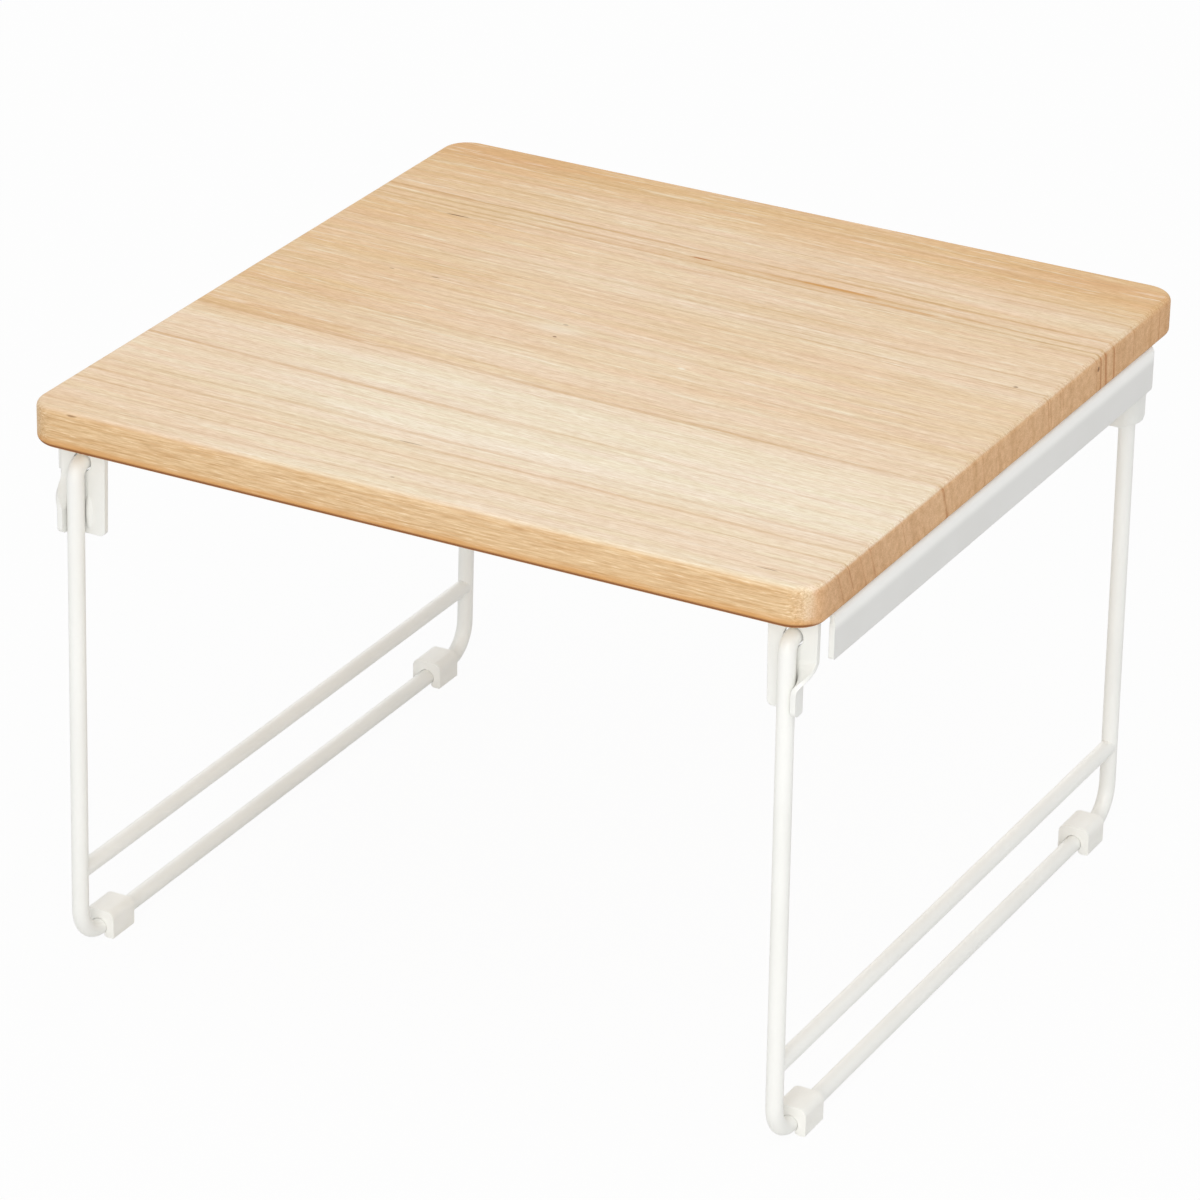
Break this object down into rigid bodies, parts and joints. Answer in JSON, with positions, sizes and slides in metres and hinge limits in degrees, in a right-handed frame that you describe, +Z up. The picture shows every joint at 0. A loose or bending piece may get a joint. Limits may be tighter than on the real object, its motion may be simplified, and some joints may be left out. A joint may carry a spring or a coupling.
{
  "type": "folding display riser",
  "caption": "Low square display riser: a wooden board on white wire leg frames that fold inwards from pressed steel side brackets and stand on clip-on plastic feet.",
  "frame": {"origin": "on the floor, under the middle of the board", "axes": "+X towards the right-hand leg, +Y from the front of the board to its back, +Z up"},
  "size_m": [0.3, 0.3, 0.214],
  "materials": {
    "board_wood": "bare paulownia, sanded, grain from side to side",
    "coated_sheet": "satin white powder coat on pressed sheet steel",
    "coated_wire": "satin white powder coat on steel wire",
    "foot_plastic": "matt white moulded plastic",
    "zinc_screw": "bright zinc plate"
  },
  "bodies": {
    "top": {"board": "board_wood", "left_bracket": "coated_sheet", "right_bracket": "coated_sheet", "left_screws": "zinc_screw", "right_screws": "zinc_screw"},
    "left_leg": {"left_leg_wire": "coated_wire", "left_crossbar": "coated_wire", "foot_front_left": "foot_plastic", "foot_back_left": "foot_plastic"},
    "right_leg": {"right_leg_wire": "coated_wire", "right_crossbar": "coated_wire", "foot_front_right": "foot_plastic", "foot_back_right": "foot_plastic"}
  },
  "joints": [
    {"name": "left_leg_fold", "type": "hinge", "parent": "top", "child": "left_leg", "pos_m": [-0.1366, 0, 0.1894], "axis": [0, -1, 0], "range_deg": [0, 91]},
    {"name": "right_leg_fold", "type": "hinge", "parent": "top", "child": "right_leg", "pos_m": [0.1366, 0, 0.1894], "axis": [0, 1, 0], "range_deg": [0, 87.4]}
  ]
}
